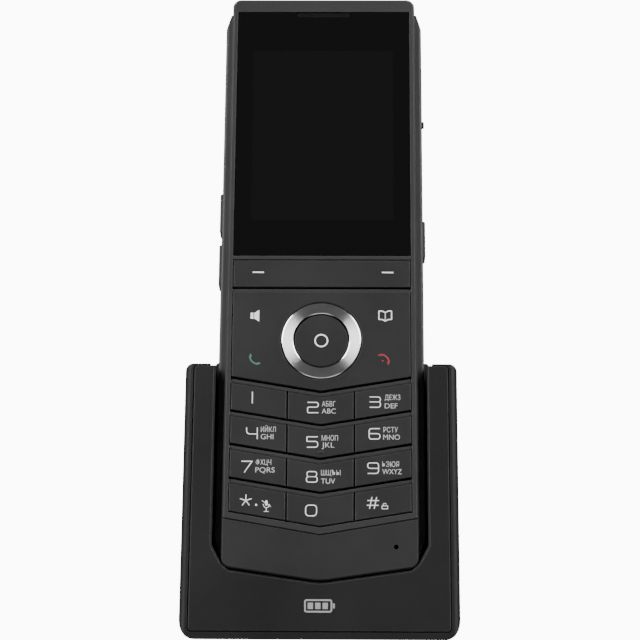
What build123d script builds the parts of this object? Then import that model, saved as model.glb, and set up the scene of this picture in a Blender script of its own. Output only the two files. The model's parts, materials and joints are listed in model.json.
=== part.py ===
from build123d import *
import math
import os

os.makedirs("parts", exist_ok=True)

# A cordless handset with a colour screen and a key pad, standing in its charging cradle.
# Origin: on the ground, at the middle of the overall width and depth.
# +X is to the right of a person who faces the phone, +Y is away from that person, +Z is up.

# ---------------------------------------------------------------- driving dimensions (mm, degrees)
lean = 28.0              # both faces lean back from upright
overall_depth = 93.5     # from the cradle's front edge to the handset's top rear edge
fit = 0.12               # joint between two fixed pieces
wall = 1.4               # moulded wall of the handset

handset_length = 156.2
handset_thickness = 17.0
front_half = 24.1        # half width of the front housing
band_half = 26.0         # half width over the side bands
rear_half = 25.2         # half width of the rear housing
band_top_depth = 3.6     # the bands lie between these depths under the face
band_low_depth = 11.5
chin_side = 3.4          # height of the chin's side corners over its point
chin_apex = -0.16        # the point before it is rounded

case_screws = [(x, y) for x in (-18.5, 18.5) for y in (14.0, 149.6)]

lens_low = 83.7
lens_high = 152.35
lens_half = 22.6
active_low = 93.4        # the lit picture area
active_high = 142.4
active_half = 18.35

key_half = 22.45         # half width of the key pad
key_slope = 0.168        # fall of the rows towards the middle, per mm
key_rise = 0.25          # the caps stand this much over the frame
key_cap = 1.9            # thickness of a cap
key_travel = 0.4
web_gap = 0.10           # from a cap's upper edge to the bar above it
web_height = 0.76
web_depth = 0.40         # top of the bars under the face
deck_depth = 3.1         # top of the key deck under the face
deck_thickness = 1.0
mat_depth = 4.75
pcb_depth = 5.6

row_corners = [50.12, 41.56, 32.95, 24.36]   # height of each row's upper outer corner
row_height = 7.25
column_edges = [(-key_half, -8.55), (-8.2, 8.2), (8.55, key_half)]
key_names = [["1", "2", "3"], ["4", "5", "6"], ["7", "8", "9"], ["star", "0", "hash"]]

soft_low = 75.1
soft_high = 82.35
plate_high = 73.85
plate_side_low = 51.5
nav_height = 60.9
nav_radius = 9.9
nav_hole_radius = 7.1
ok_radius = 6.75
chin_seam_middle = 11.4  # the chin cover's upper edge, at its lowest point
chin_seam_slope = 0.175

base_half = 34.1
base_depth = 77.0        # the cradle's footprint, front to back
base_ground = 1.4        # height of the feet
arm_top = 71.2           # along the face, from the ground line
arm_depth = 21.6
base_wall = 2.0
base_rim = 3.0           # thickness of the wall's lower rim, round the bottom cover
base_rim_top = 4.2       # height of that rim over the ground
base_corner = 4.0        # rounding of the lower edges along both sides
panel_half = 31.9
panel_low = 3.5
panel_high = 70.5
panel_thickness = 1.7
pocket_half = 26.5       # half width of the opening for the handset
handset_seat = 16.0      # the chin's point along the base's face
floor_gap = 0.5          # between the chin and the cradle's floor
liner_wall = 1.2
liner_back_depth = 17.7
liner_top = 76.3
pin_x = 5.0
pin_depth = 8.0
pin_radius = 1.0
contact_height = 1.2     # face of the handset's charging contacts over the chin's point

# ---------------------------------------------------------------- planes and directions
sin_lean = math.sin(math.radians(lean))
cos_lean = math.cos(math.radians(lean))
outward = (0, -cos_lean, sin_lean)
upward = (0, sin_lean, cos_lean)
front_y = -overall_depth / 2


def base_plane(depth=0.0):
    # x across, y up along the face from the ground line, z out of the face
    return Plane(origin=(0, front_y, 0), x_dir=(1, 0, 0), z_dir=outward).offset(-depth)


def handset_plane(depth=0.0):
    # the same, measured from the point of the handset's chin
    seat = (0, front_y + handset_seat * sin_lean, handset_seat * cos_lean)
    return Plane(origin=seat, x_dir=(1, 0, 0), z_dir=outward).offset(-depth)


def end_plane(height, depth):
    # square to the handset's length, at a height along it; x across, y out of the face
    origin = handset_plane(depth).from_local_coords(Vector(0, height, 0))
    return Plane(origin=origin, x_dir=(-1, 0, 0), z_dir=upward)


def side_plane(x, height, depth):
    # square to X; x towards the handset's top, y into the face
    origin = handset_plane(depth).from_local_coords(Vector(x, height, 0))
    return Plane(origin=origin, x_dir=upward, z_dir=(1, 0, 0))


out_axis = Axis((0, front_y, 0), outward)
up_axis = Axis((0, front_y, 0), upward)


def save(builder, label):
    builder.part.label = label
    export_step(builder.part, f"parts/{label}.step")


def span(low, high):
    # a rectangle from one corner to the other
    with Locations(((low[0] + high[0]) / 2, (low[1] + high[1]) / 2)):
        Rectangle(high[0] - low[0], high[1] - low[1])


def handset_outline(half, top, inset=0.0, corner=2.2, chin_corner=2.6):
    # the handset seen from the front, with a shallow pointed chin
    side = chin_side + inset
    Polygon(
        (-half, top), (half, top), (half, side), (0, chin_apex + inset), (-half, side), align=None
    )
    fillet(vertices().group_by(Axis.Y)[-1], corner)
    fillet(vertices().group_by(Axis.Y)[0], 14)
    fillet(vertices().filter_by(lambda v: abs(v.Y - side) < 0.01), chin_corner)


def rear_outline(inset=0.0):
    # the wider rear of the handset, whose lower corners are cut to suit the cradle
    half = rear_half - inset
    cut_half = 23.4 - inset
    side = chin_side + inset
    Polygon(
        (-half, handset_length - inset), (half, handset_length - inset), (half, 9.6), (cut_half, side + 0.4),
        (0, chin_apex + inset), (-cut_half, side + 0.4), (-half, 9.6), align=None,
    )
    fillet(vertices().group_by(Axis.Y)[-1], 4.0 - inset / 2)
    fillet(vertices().group_by(Axis.Y)[0], 14)
    fillet(vertices().filter_by(lambda v: abs(v.Y - side - 0.4) < 0.01), 1.8)
    fillet(vertices().filter_by(lambda v: abs(v.Y - 9.6) < 0.01), 3.0)


def row_line(corner, x):
    # height of a sloping row's edge at x, given its height at the pad's side
    return corner - key_slope * (key_half - abs(x))


def pad_outline(half, top, corner):
    # flat on top, V-shaped below
    drop = key_slope * key_half
    grow = key_slope * (half - key_half)
    Polygon(
        (-half, top), (half, top), (half, corner + grow), (0, corner - drop), (-half, corner + grow),
        align=None,
    )


def web_outline(corner):
    # the bar above a row of caps: even in height, and bent like the row
    reach = key_half + 0.5
    low = [(x, row_line(corner, x) + web_gap) for x in (-reach, 0, reach)]
    high = [(x, y + web_height) for x, y in reversed(low)]
    Polygon(*low, *high, align=None)


def seam_outline(end, lift=0.0, mode=Mode.ADD):
    # everything on one side of the chin cover's upper edge, as far as the height of end
    far = 30
    side = chin_seam_middle + lift + chin_seam_slope * far
    Polygon(
        (-far, side), (0, chin_seam_middle + lift), (far, side), (far, end), (-far, end),
        align=None, mode=mode,
    )


# What stands in windows of the side bands, as (side, lower end, upper end)
volume_up_place = (-1, 91.8, 102.5)
volume_down_place = (-1, 77.2, 88.4)
side_key_place = (1, 85.0, 95.0)
cover_place = (1, 121.3, 138.3)
side_places = [volume_up_place, volume_down_place, side_key_place, cover_place]
side_depth = 4.95        # front of these pieces, under the face
side_thickness = 5.3
side_middle_depth = 7.6
side_inner = front_half + 0.35
window_margin = 1.1      # the housing's windows are shorter than the pieces over them
jack_place = 125.6
port_place = 132.6


# ---------------------------------------------------------------- front housing of the handset
pad_low = row_corners[3] - row_height - 0.3
pad_top = soft_high + 0.3
key_holes = [(x, row_line(corner, x) - row_height / 2) for corner in row_corners for x in (-15.5, 0, 15.5)]
plunger_radius = 1.5
with BuildPart() as front_housing:
    with BuildSketch(handset_plane()):
        handset_outline(front_half, handset_length)
    extrude(amount=-band_low_depth)
    front_rim = faces().sort_by(out_axis)[-1].edges()
    chamfer(front_rim, 0.45)
    # the tub behind the front wall
    with BuildSketch(handset_plane(deck_depth + deck_thickness)):
        handset_outline(front_half - wall, handset_length - wall, wall, 1.2, 1.6)
    extrude(amount=-band_low_depth, mode=Mode.SUBTRACT)
    # screw bosses
    with BuildSketch(handset_plane(deck_depth)):
        with Locations(*case_screws):
            Circle(2.0)
    extrude(amount=-(band_low_depth - deck_depth))
    with BuildSketch(handset_plane(deck_depth + 2)):
        with Locations(*case_screws):
            Circle(1.05)
    extrude(amount=-20, mode=Mode.SUBTRACT)
    # the bed of the screen's glass, and the window behind it
    with BuildSketch(handset_plane()):
        span((-lens_half - fit, lens_low - fit), (lens_half + fit, lens_high + fit))
    extrude(amount=-1.2, mode=Mode.SUBTRACT)
    with BuildSketch(handset_plane()):
        span((-active_half - 1.2, active_low - 3), (active_half + 1.2, active_high + 1.5))
    extrude(amount=-deck_depth - deck_thickness, mode=Mode.SUBTRACT)
    with BuildSketch(handset_plane(2.2)):
        span((-21.6, 86.2), (21.6, 147.2))
    extrude(amount=-4, mode=Mode.SUBTRACT)
    # the channel from the receiver to the ear slot
    with BuildSketch(handset_plane()):
        span((-6.2, lens_high - 1.3), (6.2, lens_high - 0.2))
    extrude(amount=-deck_depth - deck_thickness, mode=Mode.SUBTRACT)
    # the opening of the key pad, down to the deck, and the holes for the plungers
    with BuildSketch(handset_plane()):
        pad_outline(key_half + 0.22, pad_top, pad_low)
    extrude(amount=-deck_depth, mode=Mode.SUBTRACT)
    with BuildSketch(handset_plane()):
        with Locations(*key_holes, (0, nav_height)):
            Circle(plunger_radius + 0.35)
        with Locations(*[(x, (soft_low + soft_high) / 2) for x in (-16, 16)]):
            Circle(plunger_radius + 0.35)
        with Locations(*[(x, y) for x in (-16, 16) for y in (56.0, 67.4)]):
            Circle(plunger_radius + 0.35)
        with Locations(*[(0, nav_height + y) for y in (-8.4, 8.4)], (-8.4, nav_height), (8.4, nav_height)):
            Circle(1.0)
    extrude(amount=-6, mode=Mode.SUBTRACT)
    # bars between the rows of caps
    with BuildSketch(handset_plane(web_depth)):
        for corner in row_corners:
            web_outline(corner)
        span((-key_half - 0.5, plate_high + web_gap), (key_half + 0.5, plate_high + web_gap + web_height))
    extrude(amount=-(deck_depth + 0.5 - web_depth))
    # the seat of the chin cover
    with BuildSketch(handset_plane()):
        seam_outline(-10)
    extrude(amount=-1.7, mode=Mode.SUBTRACT)
    with BuildSketch(handset_plane()):
        with Locations((18.6, 8.3)):
            Circle(0.9)
    extrude(amount=-6, mode=Mode.SUBTRACT)
    # wells for the two charging contacts in the lower wall
    with BuildSketch(end_plane(-1, pin_depth)):
        with Locations((-pin_x, 0), (pin_x, 0)):
            Circle(pin_radius + 0.5)
    extrude(amount=6, mode=Mode.SUBTRACT)
    # windows for the side keys and the connector
    with BuildSketch(handset_plane(5.0)):
        for side, low, high in side_places:
            span((side * 25 - 5, low + window_margin), (side * 25 + 5, high - window_margin))
    extrude(amount=-5.2, mode=Mode.SUBTRACT)
save(front_housing, "front_housing")

# ---------------------------------------------------------------- rear housing of the handset
rear_top_depth = band_low_depth + fit
door_low = 63.0
door_high = 124.0
door_half = 20.5
speaker_height = 139.0
with BuildPart() as rear_housing:
    with BuildSketch(handset_plane(rear_top_depth)):
        rear_outline()
    extrude(amount=-(handset_thickness - rear_top_depth))
    back_rim = faces().sort_by(out_axis)[0].edges()
    fillet(back_rim, 3.4)
    with BuildSketch(handset_plane(rear_top_depth)):
        rear_outline(2.0)
    extrude(amount=-(handset_thickness - rear_top_depth - wall), mode=Mode.SUBTRACT)
    # the battery bay's opening with a shallow seat for the door
    with BuildSketch(handset_plane(handset_thickness - 1.3)):
        span((-door_half - 0.15, door_low - 0.15), (door_half + 0.15, door_high + 0.15))
        fillet(vertices(), 2.0)
    extrude(amount=-3, mode=Mode.SUBTRACT)
    with BuildSketch(handset_plane(10)):
        span((-door_half + 1.4, door_low + 1.4), (door_half - 1.4, door_high - 1.4))
    extrude(amount=-10, mode=Mode.SUBTRACT)
    # loudspeaker slots
    with BuildSketch(handset_plane(10)):
        with GridLocations(2.6, 0, 6, 1):
            with Locations((0, speaker_height)):
                SlotOverall(9.0, 1.2, rotation=90)
    extrude(amount=-10, mode=Mode.SUBTRACT)
    # sunk holes for the four case screws
    with BuildSketch(handset_plane(10)):
        with Locations(*case_screws):
            Circle(1.25)
    extrude(amount=-10, mode=Mode.SUBTRACT)
    with BuildSketch(handset_plane(handset_thickness - 0.7)):
        with Locations(*case_screws):
            Circle(2.3)
    extrude(amount=-3, mode=Mode.SUBTRACT)
save(rear_housing, "rear_housing")

with BuildPart() as battery_door:
    with BuildSketch(handset_plane(handset_thickness - 1.2)):
        span((-door_half, door_low), (door_half, door_high))
        fillet(vertices(), 1.9)
    extrude(amount=-1.2)
    fillet(faces().sort_by(out_axis)[0].edges(), 0.4)
    # a finger notch near the lower edge
    with BuildSketch(handset_plane(handset_thickness - 0.5)):
        with Locations((0, door_low + 5)):
            SlotOverall(14, 5)
    extrude(amount=-2, mode=Mode.SUBTRACT)
save(battery_door, "battery_door")


# ---------------------------------------------------------------- side bands
def make_band(side, cutouts):
    low, high, taper, tip = 7.2, 153.2, 4.2, 24.65
    inner = front_half + 0.05
    with BuildPart() as band:
        with BuildSketch(handset_plane(band_top_depth)):
            Polygon(
                (inner, low), (inner, high), (tip, high), (band_half, high - taper),
                (band_half, low + taper), (tip, low), align=None,
            )
        extrude(amount=-(band_low_depth - band_top_depth))
        outer = edges().filter_by(up_axis).sort_by(Axis.X)[-2:]
        fillet(outer, 0.7)
        for start, end in cutouts:
            with BuildSketch(handset_plane(4.6)):
                span((20, start), (30, end))
            extrude(amount=-6.0, mode=Mode.SUBTRACT)
        if side < 0:
            mirror(about=Plane.YZ, mode=Mode.REPLACE)
    return band


window_gap = 0.25
for name, side in (("left", -1), ("right", 1)):
    cutouts = [(low - window_gap, high + window_gap) for place, low, high in side_places if place == side]
    save(make_band(side, cutouts), f"side_band_{name}")


def make_side_key(place, proud):
    side, low, high = place
    stem_width, stem_height, stem_length = 2.4, 3.4, 2.6
    with BuildPart() as key:
        with BuildSketch(handset_plane(side_depth)):
            span((side_inner, low), (band_half + proud, high))
            fillet(vertices().group_by(Axis.X)[-1], 0.5)
        extrude(amount=-side_thickness)
        fillet(edges().filter_by(up_axis).sort_by(Axis.X)[-2:], 0.35)
        # the stem that presses the switch
        with BuildSketch(side_plane(side_inner, (low + high) / 2, side_middle_depth)):
            Rectangle(stem_height, stem_width)
        extrude(amount=-stem_length)
        if side < 0:
            mirror(about=Plane.YZ, mode=Mode.REPLACE)
    return key


key_proud = 0.65         # the side keys stand this much over the bands
save(make_side_key(volume_up_place, key_proud), "volume_up_key")
save(make_side_key(volume_down_place, key_proud), "volume_down_key")
save(make_side_key(side_key_place, key_proud), "talk_side_key")

# The rubber flap over the connectors, hinged at its upper end, with a small pull tab below
tab_depth = 6.8
tab_size = (0.65, 1.4, 1.5)     # out of the flap, along it and across it
tab_rise = 1.0                  # from the flap's lower end to the tab
with BuildPart() as port_cover:
    cover_low, cover_high = cover_place[1:]
    with BuildSketch(handset_plane(side_depth)):
        span((side_inner - 0.1, cover_low), (band_half + 0.05, cover_high))
    extrude(amount=-side_thickness)
    with BuildSketch(handset_plane(tab_depth)):
        tab_low = cover_low + tab_rise
        span((band_half - 0.5, tab_low), (band_half + tab_size[0], tab_low + tab_size[1]))
    extrude(amount=-tab_size[2])
    fillet(edges().filter_by(up_axis).sort_by(Axis.X)[-2:], 0.25)
    # plugs that fill the two sockets
    with BuildSketch(side_plane(side_inner, jack_place, side_middle_depth)):
        Circle(1.35)
    extrude(amount=-1.4)
    with BuildSketch(side_plane(side_inner, port_place, side_middle_depth)):
        SlotOverall(5.0, 1.9)
    extrude(amount=-1.4)
save(port_cover, "port_cover")

# ---------------------------------------------------------------- screen, ear piece and chin
with BuildPart() as screen_lens:
    with BuildSketch(handset_plane(0.03)):
        span((-lens_half, lens_low), (lens_half, lens_high))
        fillet(vertices(), 0.5)
        Polygon(
            (-7.1, lens_high + 1), (7.1, lens_high + 1), (7.1, lens_high - 0.8), (6.4, lens_high - 1.45),
            (-6.4, lens_high - 1.45), (-7.1, lens_high - 0.8), align=None, mode=Mode.SUBTRACT,
        )
    extrude(amount=-1.1)
    chamfer(faces().sort_by(out_axis)[-1].edges(), 0.12)
save(screen_lens, "screen_lens")

with BuildPart() as earpiece_mesh:
    with BuildSketch(handset_plane(0.35)):
        span((-6.9, lens_high - 1.3), (6.9, lens_high - 0.05))
        fillet(vertices().group_by(Axis.Y)[0], 0.5)
        with Locations((0, lens_high - 0.68)):
            with GridLocations(0.8, 0.5, 15, 2):
                Circle(0.14, mode=Mode.SUBTRACT)
    extrude(amount=-0.5)
save(earpiece_mesh, "earpiece_mesh")

with BuildPart() as chin_cover:
    with BuildSketch(handset_plane()):
        handset_outline(front_half, 40)
        seam_outline(60, -0.15, Mode.SUBTRACT)
    extrude(amount=-1.6)
    chamfer(faces().sort_by(out_axis)[-1].edges(), 0.3)
    with BuildSketch(handset_plane()):
        with Locations((18.6, 8.3)):
            Circle(0.6)
    extrude(amount=-3, mode=Mode.SUBTRACT)
save(chin_cover, "chin_cover")


# ---------------------------------------------------------------- the pad's caps
def crown(rise_edge, side_edge):
    # a longer bevel along a cap's upper edges, a fine one along the others
    top = faces().sort_by(out_axis)[-1]
    upper = [e for e in top.edges() if (e @ 0.5 - top.center()).dot(Vector(upward)) > 1.5]
    others = [e for e in top.edges() if e not in upper]
    chamfer(others, side_edge)
    top = faces().sort_by(out_axis)[-1]
    upper = [e for e in top.edges() if (e @ 0.5 - top.center()).dot(Vector(upward)) > 1.5]
    chamfer(upper, rise_edge)


def make_number_key(row, column):
    left, right = column_edges[column]
    corner = row_corners[row]
    low = corner - row_height
    crest = [(left, row_line(corner, left)), (right, row_line(corner, right))]
    foot = [(right, row_line(low, right)), (left, row_line(low, left))]
    if column == 1:
        crest.insert(1, (0, row_line(corner, 0)))
        foot.insert(1, (0, row_line(low, 0)))
    middle = (left + right) / 2
    with BuildPart() as key:
        with BuildSketch(handset_plane(-key_rise)):
            Polygon(*crest, *foot, align=None)
        extrude(amount=-key_cap)
        crown(0.55, 0.16)
        if (row, column) == (1, 1):
            with BuildSketch(handset_plane(-key_rise + 0.1)):
                with Locations((0, row_line(low, 0) + 1.35)):
                    SlotOverall(1.5, 0.55)
            extrude(amount=0.35)
        post = -15.5 if column == 0 else 15.5 if column == 2 else 0
        with BuildSketch(handset_plane(key_cap - key_rise)):
            with Locations((post, row_line(corner, post) - row_height / 2)):
                Circle(plunger_radius)
        extrude(amount=-(mat_depth - key_travel - 0.08 - key_cap + key_rise))
    return key


for row in range(4):
    for column in range(3):
        save(make_number_key(row, column), f"key_{key_names[row][column]}")


plunger_end = mat_depth - key_travel - 0.08
with BuildPart() as soft_key_bar:
    with BuildSketch(handset_plane(-key_rise)):
        span((-key_half, soft_low), (key_half, soft_high))
        fillet(vertices(), 0.3)
    extrude(amount=-key_cap)
    chamfer(faces().sort_by(out_axis)[-1].edges(), 0.16)
    with BuildSketch(handset_plane(key_cap - key_rise)):
        with Locations((-16, (soft_low + soft_high) / 2), (16, (soft_low + soft_high) / 2)):
            Circle(plunger_radius)
    extrude(amount=-(plunger_end - key_cap + key_rise))
save(soft_key_bar, "soft_key_bar")

with BuildPart() as function_key_plate:
    with BuildSketch(handset_plane(-key_rise)):
        pad_outline(key_half, plate_high, plate_side_low)
        with Locations((0, nav_height)):
            Circle(nav_radius + 0.28, mode=Mode.SUBTRACT)
    extrude(amount=-key_cap)
    chamfer(faces().sort_by(out_axis)[-1].edges(), 0.16)
    with BuildSketch(handset_plane(key_cap - key_rise)):
        with Locations(*[(x, y) for x in (-16, 16) for y in (56.0, 67.4)]):
            Circle(plunger_radius)
    extrude(amount=-(plunger_end - key_cap + key_rise))
save(function_key_plate, "function_key_plate")

with BuildPart() as nav_ring:
    with BuildSketch(handset_plane(-key_rise - 0.1)):
        with Locations((0, nav_height)):
            Circle(nav_radius)
            Circle(nav_hole_radius, mode=Mode.SUBTRACT)
    extrude(amount=-1.8)
    chamfer(faces().sort_by(out_axis)[-1].edges(), 0.22)
save(nav_ring, "nav_ring")

with BuildPart() as ok_key:
    with BuildSketch(handset_plane(-key_rise + 0.1)):
        with Locations((0, nav_height)):
            Circle(ok_radius)
    extrude(amount=-1.7)
    chamfer(faces().sort_by(out_axis)[-1].edges(), 0.15)
    with BuildSketch(handset_plane(1.4)):
        with Locations((0, nav_height)):
            Circle(plunger_radius)
    extrude(amount=-(plunger_end - 1.4))
save(ok_key, "ok_key")


def make_web(outer, inner):
    # a thin spring ring under a rocking cap
    with BuildPart() as web:
        with BuildSketch(handset_plane(2.2)):
            with Locations((0, nav_height)):
                Circle(outer)
                Circle(inner, mode=Mode.SUBTRACT)
        extrude(amount=-0.3)
    return web


save(make_web(9.4, 7.4), "nav_spring_ring")
save(make_web(12.8, 10.4), "plate_spring_ring")

# ---------------------------------------------------------------- inside the handset
with BuildPart() as keypad_mat:
    with BuildSketch(handset_plane(mat_depth)):
        span((-20.5, 12.5), (20.5, 83.5))
        with Locations(*case_screws):
            Circle(2.3, mode=Mode.SUBTRACT)
    extrude(amount=-0.6)
save(keypad_mat, "keypad_mat")

with BuildPart() as main_pcb:
    with BuildSketch(handset_plane(pcb_depth)):
        span((-21, 11.5), (21, 152))
        with Locations(*case_screws):
            Circle(2.3, mode=Mode.SUBTRACT)
    extrude(amount=-1.0)
    # notches for the two connectors
    with BuildSketch(handset_plane(pcb_depth)):
        span((11.2, 122.6), (22, 128.6))
        span((16.6, 127.5), (22, 137.6))
    extrude(amount=-1.0, mode=Mode.SUBTRACT)
save(main_pcb, "main_pcb")

with BuildPart() as lcd_module:
    with BuildSketch(handset_plane(2.75)):
        span((-21.2, 86.6), (21.2, 146.8))
    extrude(amount=-2.3)
    with BuildSketch(handset_plane(1.45)):
        span((-active_half - 0.6, active_low - 0.6), (active_half + 0.6, active_high + 0.6))
    extrude(amount=-1.4)
save(lcd_module, "lcd_module")

with BuildPart() as display_gasket:
    with BuildSketch(handset_plane(2.25)):
        span((-21.2, 86.6), (21.2, 146.8))
        span((-20.2, 89.8), (20.2, 144.6))
    extrude(amount=-0.45)
    with BuildSketch(handset_plane(2.0)):
        span((-20.0, 90.0), (20.0, 144.4))
    extrude(amount=-2, mode=Mode.SUBTRACT)
save(display_gasket, "display_gasket")

with BuildPart() as earpiece_receiver:
    with BuildSketch(handset_plane(4.15)):
        span((-6.5, 148.2), (6.5, 153.6))
        fillet(vertices(), 1.0)
    extrude(amount=-1.4)
save(earpiece_receiver, "earpiece_receiver")

with BuildPart() as microphone:
    with BuildSketch(handset_plane(4.15)):
        with Locations((18.6, 8.3)):
            Circle(2.0)
    extrude(amount=-1.4)
save(microphone, "microphone")

with BuildPart() as loudspeaker:
    with BuildSketch(handset_plane(11.8)):
        with Locations((0, speaker_height)):
            Rectangle(21, 15)
        fillet(vertices(), 3.0)
    extrude(amount=-3.7)
save(loudspeaker, "loudspeaker")

with BuildPart() as vibration_motor:
    with BuildSketch(handset_plane(pcb_depth + 1.05)):
        with Locations((14, 30)):
            Circle(4.0)
    extrude(amount=-2.7)
save(vibration_motor, "vibration_motor")

with BuildPart() as battery_pack:
    with BuildSketch(handset_plane(10.2)):
        span((-17.5, door_low + 3.0), (17.5, door_high - 3.0))
        fillet(vertices(), 1.0)
    extrude(amount=-5.3)
save(battery_pack, "battery_pack")

with BuildPart() as battery_contacts:
    with BuildSketch(handset_plane(pcb_depth + 1.05)):
        with Locations((0, door_low + 6)):
            with GridLocations(3.0, 0, 4, 1):
                Rectangle(1.2, 4.0)
    extrude(amount=-3.45)
save(battery_contacts, "battery_contacts")

with BuildPart() as charge_contacts:
    with BuildSketch(end_plane(2.5, pin_depth)):
        with Locations((-pin_x, 0), (pin_x, 0)):
            Rectangle(5.0, 4.0)
    extrude(amount=0.6)
    with BuildSketch(end_plane(contact_height, pin_depth)):
        with Locations((-pin_x, 0), (pin_x, 0)):
            Circle(pin_radius + 0.3)
    extrude(amount=2.6 - contact_height)
save(charge_contacts, "charge_contacts")

with BuildPart() as data_port:
    with BuildSketch(side_plane(22.9, port_place, side_middle_depth)):
        SlotOverall(9.0, 3.4)
        SlotOverall(6.4, 2.5, mode=Mode.SUBTRACT)
    extrude(amount=-6.0)
    with BuildSketch(side_plane(17.9, port_place, side_middle_depth)):
        SlotOverall(8.6, 3.0)
    extrude(amount=-0.8)
save(data_port, "data_port")

with BuildPart() as headset_jack:
    with BuildSketch(side_plane(22.9, jack_place, side_middle_depth)):
        Circle(2.5)
        Circle(1.8, mode=Mode.SUBTRACT)
    extrude(amount=-11.0)
    with BuildSketch(side_plane(12.9, jack_place, side_middle_depth)):
        Circle(2.4)
    extrude(amount=-0.9)
save(headset_jack, "headset_jack")

with BuildPart() as housing_screws:
    with BuildSketch(handset_plane(handset_thickness - 0.1)):
        with Locations(*case_screws):
            Circle(2.1)
    extrude(amount=0.55)
    with BuildSketch(handset_plane(handset_thickness - 0.6)):
        with Locations(*case_screws):
            Circle(1.0)
    extrude(amount=8.0)
    with BuildSketch(handset_plane(handset_thickness - 0.45)):
        with Locations(*case_screws):
            RegularPolygon(0.9, 6)
    extrude(amount=-2, mode=Mode.SUBTRACT)
save(housing_screws, "housing_screws")


# ---------------------------------------------------------------- the charging cradle
def base_profile(inset=0.0, front_inset=0.0):
    # the cradle from the side, as (y, z); the front edge leans like the handset
    def on_face(along, depth):
        return (
            front_y + along * sin_lean + depth * cos_lean,
            along * cos_lean - depth * sin_lean,
        )
    bottom = base_ground - 3 * inset
    foot = on_face(bottom / cos_lean, 0)
    rear = front_y + base_depth - inset
    return [
        (foot[0] + front_inset / cos_lean, bottom),
        on_face(arm_top - inset, front_inset),
        on_face(arm_top - inset, arm_depth - inset),
        (front_y + 60.5 - inset * 0.7, 31.0 - inset * 0.7),
        (rear, 13.0 - inset * 0.4),
        (rear, bottom),
    ]


def pocket_outline(grow, top):
    # the cradle's opening: straight sides, cut corners and a V-shaped floor
    half = pocket_half + grow
    floor = handset_seat + chin_apex - floor_gap - grow
    low_half = 24.1 + grow * 0.7
    Polygon(
        (-half, top), (half, top), (half, 24.8 - grow * 0.6), (low_half, 20.2 - grow),
        (22.2, floor + 3.25), (0, floor), (-22.2, floor + 3.25),
        (-low_half, 20.2 - grow), (-half, 24.8 - grow * 0.6), align=None,
    )
    fillet(vertices().group_by(Axis.Y)[0], 14)
    fillet(vertices().filter_by(lambda v: abs(abs(v.X) - low_half) < 0.01), 1.2)


jack_height = 8.0
foot_places = [(x, front_y + y) for x in (-24.5, 24.5) for y in (13.0, 69.5)]
base_screw_places = [(x, front_y + y) for x in (-27, 27) for y in (28.0, 58.0)]

with BuildPart() as base_shell:
    with BuildSketch(Plane.YZ):
        Polygon(*base_profile(), align=None)
        fillet(vertices().filter_by(lambda v: abs(v.X - front_y - 60.5) < 0.01), 30)
        fillet(vertices().filter_by(lambda v: abs(v.Y - 13.0) < 0.01), 7)
        fillet(vertices().group_by(Axis.Y)[-2:], 1.3)
    extrude(amount=base_half, both=True)
    fillet(faces().filter_by(Axis.X).edges(), 1.9)
    with BuildSketch(Plane.XZ):
        span((-base_half, base_ground), (base_half, 90))
        fillet(vertices().group_by(Axis.Y)[0], base_corner)
    extrude(amount=80, both=True, mode=Mode.INTERSECT)
    with BuildSketch(Plane.YZ):
        Polygon(*base_profile(base_wall, 3.6), align=None)
    extrude(amount=base_half - base_rim, both=True, mode=Mode.SUBTRACT)
    with BuildSketch(Plane.YZ):
        Polygon(*base_profile(base_wall, 3.6), align=None)
        with Locations((0, base_rim_top - 20)):
            Rectangle(200, 40, mode=Mode.SUBTRACT)
    extrude(amount=base_half - base_wall, both=True, mode=Mode.SUBTRACT)
    # the panel's recess
    with BuildSketch(base_plane(-1)):
        span((-panel_half - fit, panel_low - fit), (panel_half + fit, panel_high + fit))
        fillet(vertices(), 1.1)
    extrude(amount=-1 - panel_thickness - 0.05, mode=Mode.SUBTRACT)
    # the pocket for the liner, open at the top
    with BuildSketch(base_plane(-1)):
        pocket_outline(liner_wall + fit, 95)
    extrude(amount=-1 - liner_back_depth - 1.7 - fit, mode=Mode.SUBTRACT)
    # the power inlet's window in the rear wall
    with BuildSketch(Plane.XZ.offset(-front_y - base_depth - 1)):
        with Locations((0, jack_height)):
            SlotOverall(10.4, 4.6)
    extrude(amount=6, mode=Mode.SUBTRACT)
    # vent slots low in the sloping back
    with BuildSketch(Plane.XY.offset(20)):
        with Locations((0, front_y + 69)):
            with GridLocations(5.0, 0, 7, 1):
                SlotOverall(8.0, 1.4, rotation=90)
    extrude(amount=20, mode=Mode.SUBTRACT)
save(base_shell, "base_shell")

with BuildPart() as base_front_panel:
    with BuildSketch(base_plane()):
        span((-panel_half, panel_low), (panel_half, panel_high))
        fillet(vertices(), 1.0)
    extrude(amount=-panel_thickness)
    chamfer(faces().sort_by(out_axis)[-1].edges(), 0.3)
    with BuildSketch(base_plane(-1)):
        pocket_outline(0, 95)
    extrude(amount=-5, mode=Mode.SUBTRACT)
    # a bright bevel round the opening
    with BuildSketch(base_plane(-0.05)):
        pocket_outline(0.45, 95)
    with BuildSketch(base_plane(0.4)):
        pocket_outline(0, 95)
    loft(mode=Mode.SUBTRACT)
save(base_front_panel, "base_front_panel")

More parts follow.
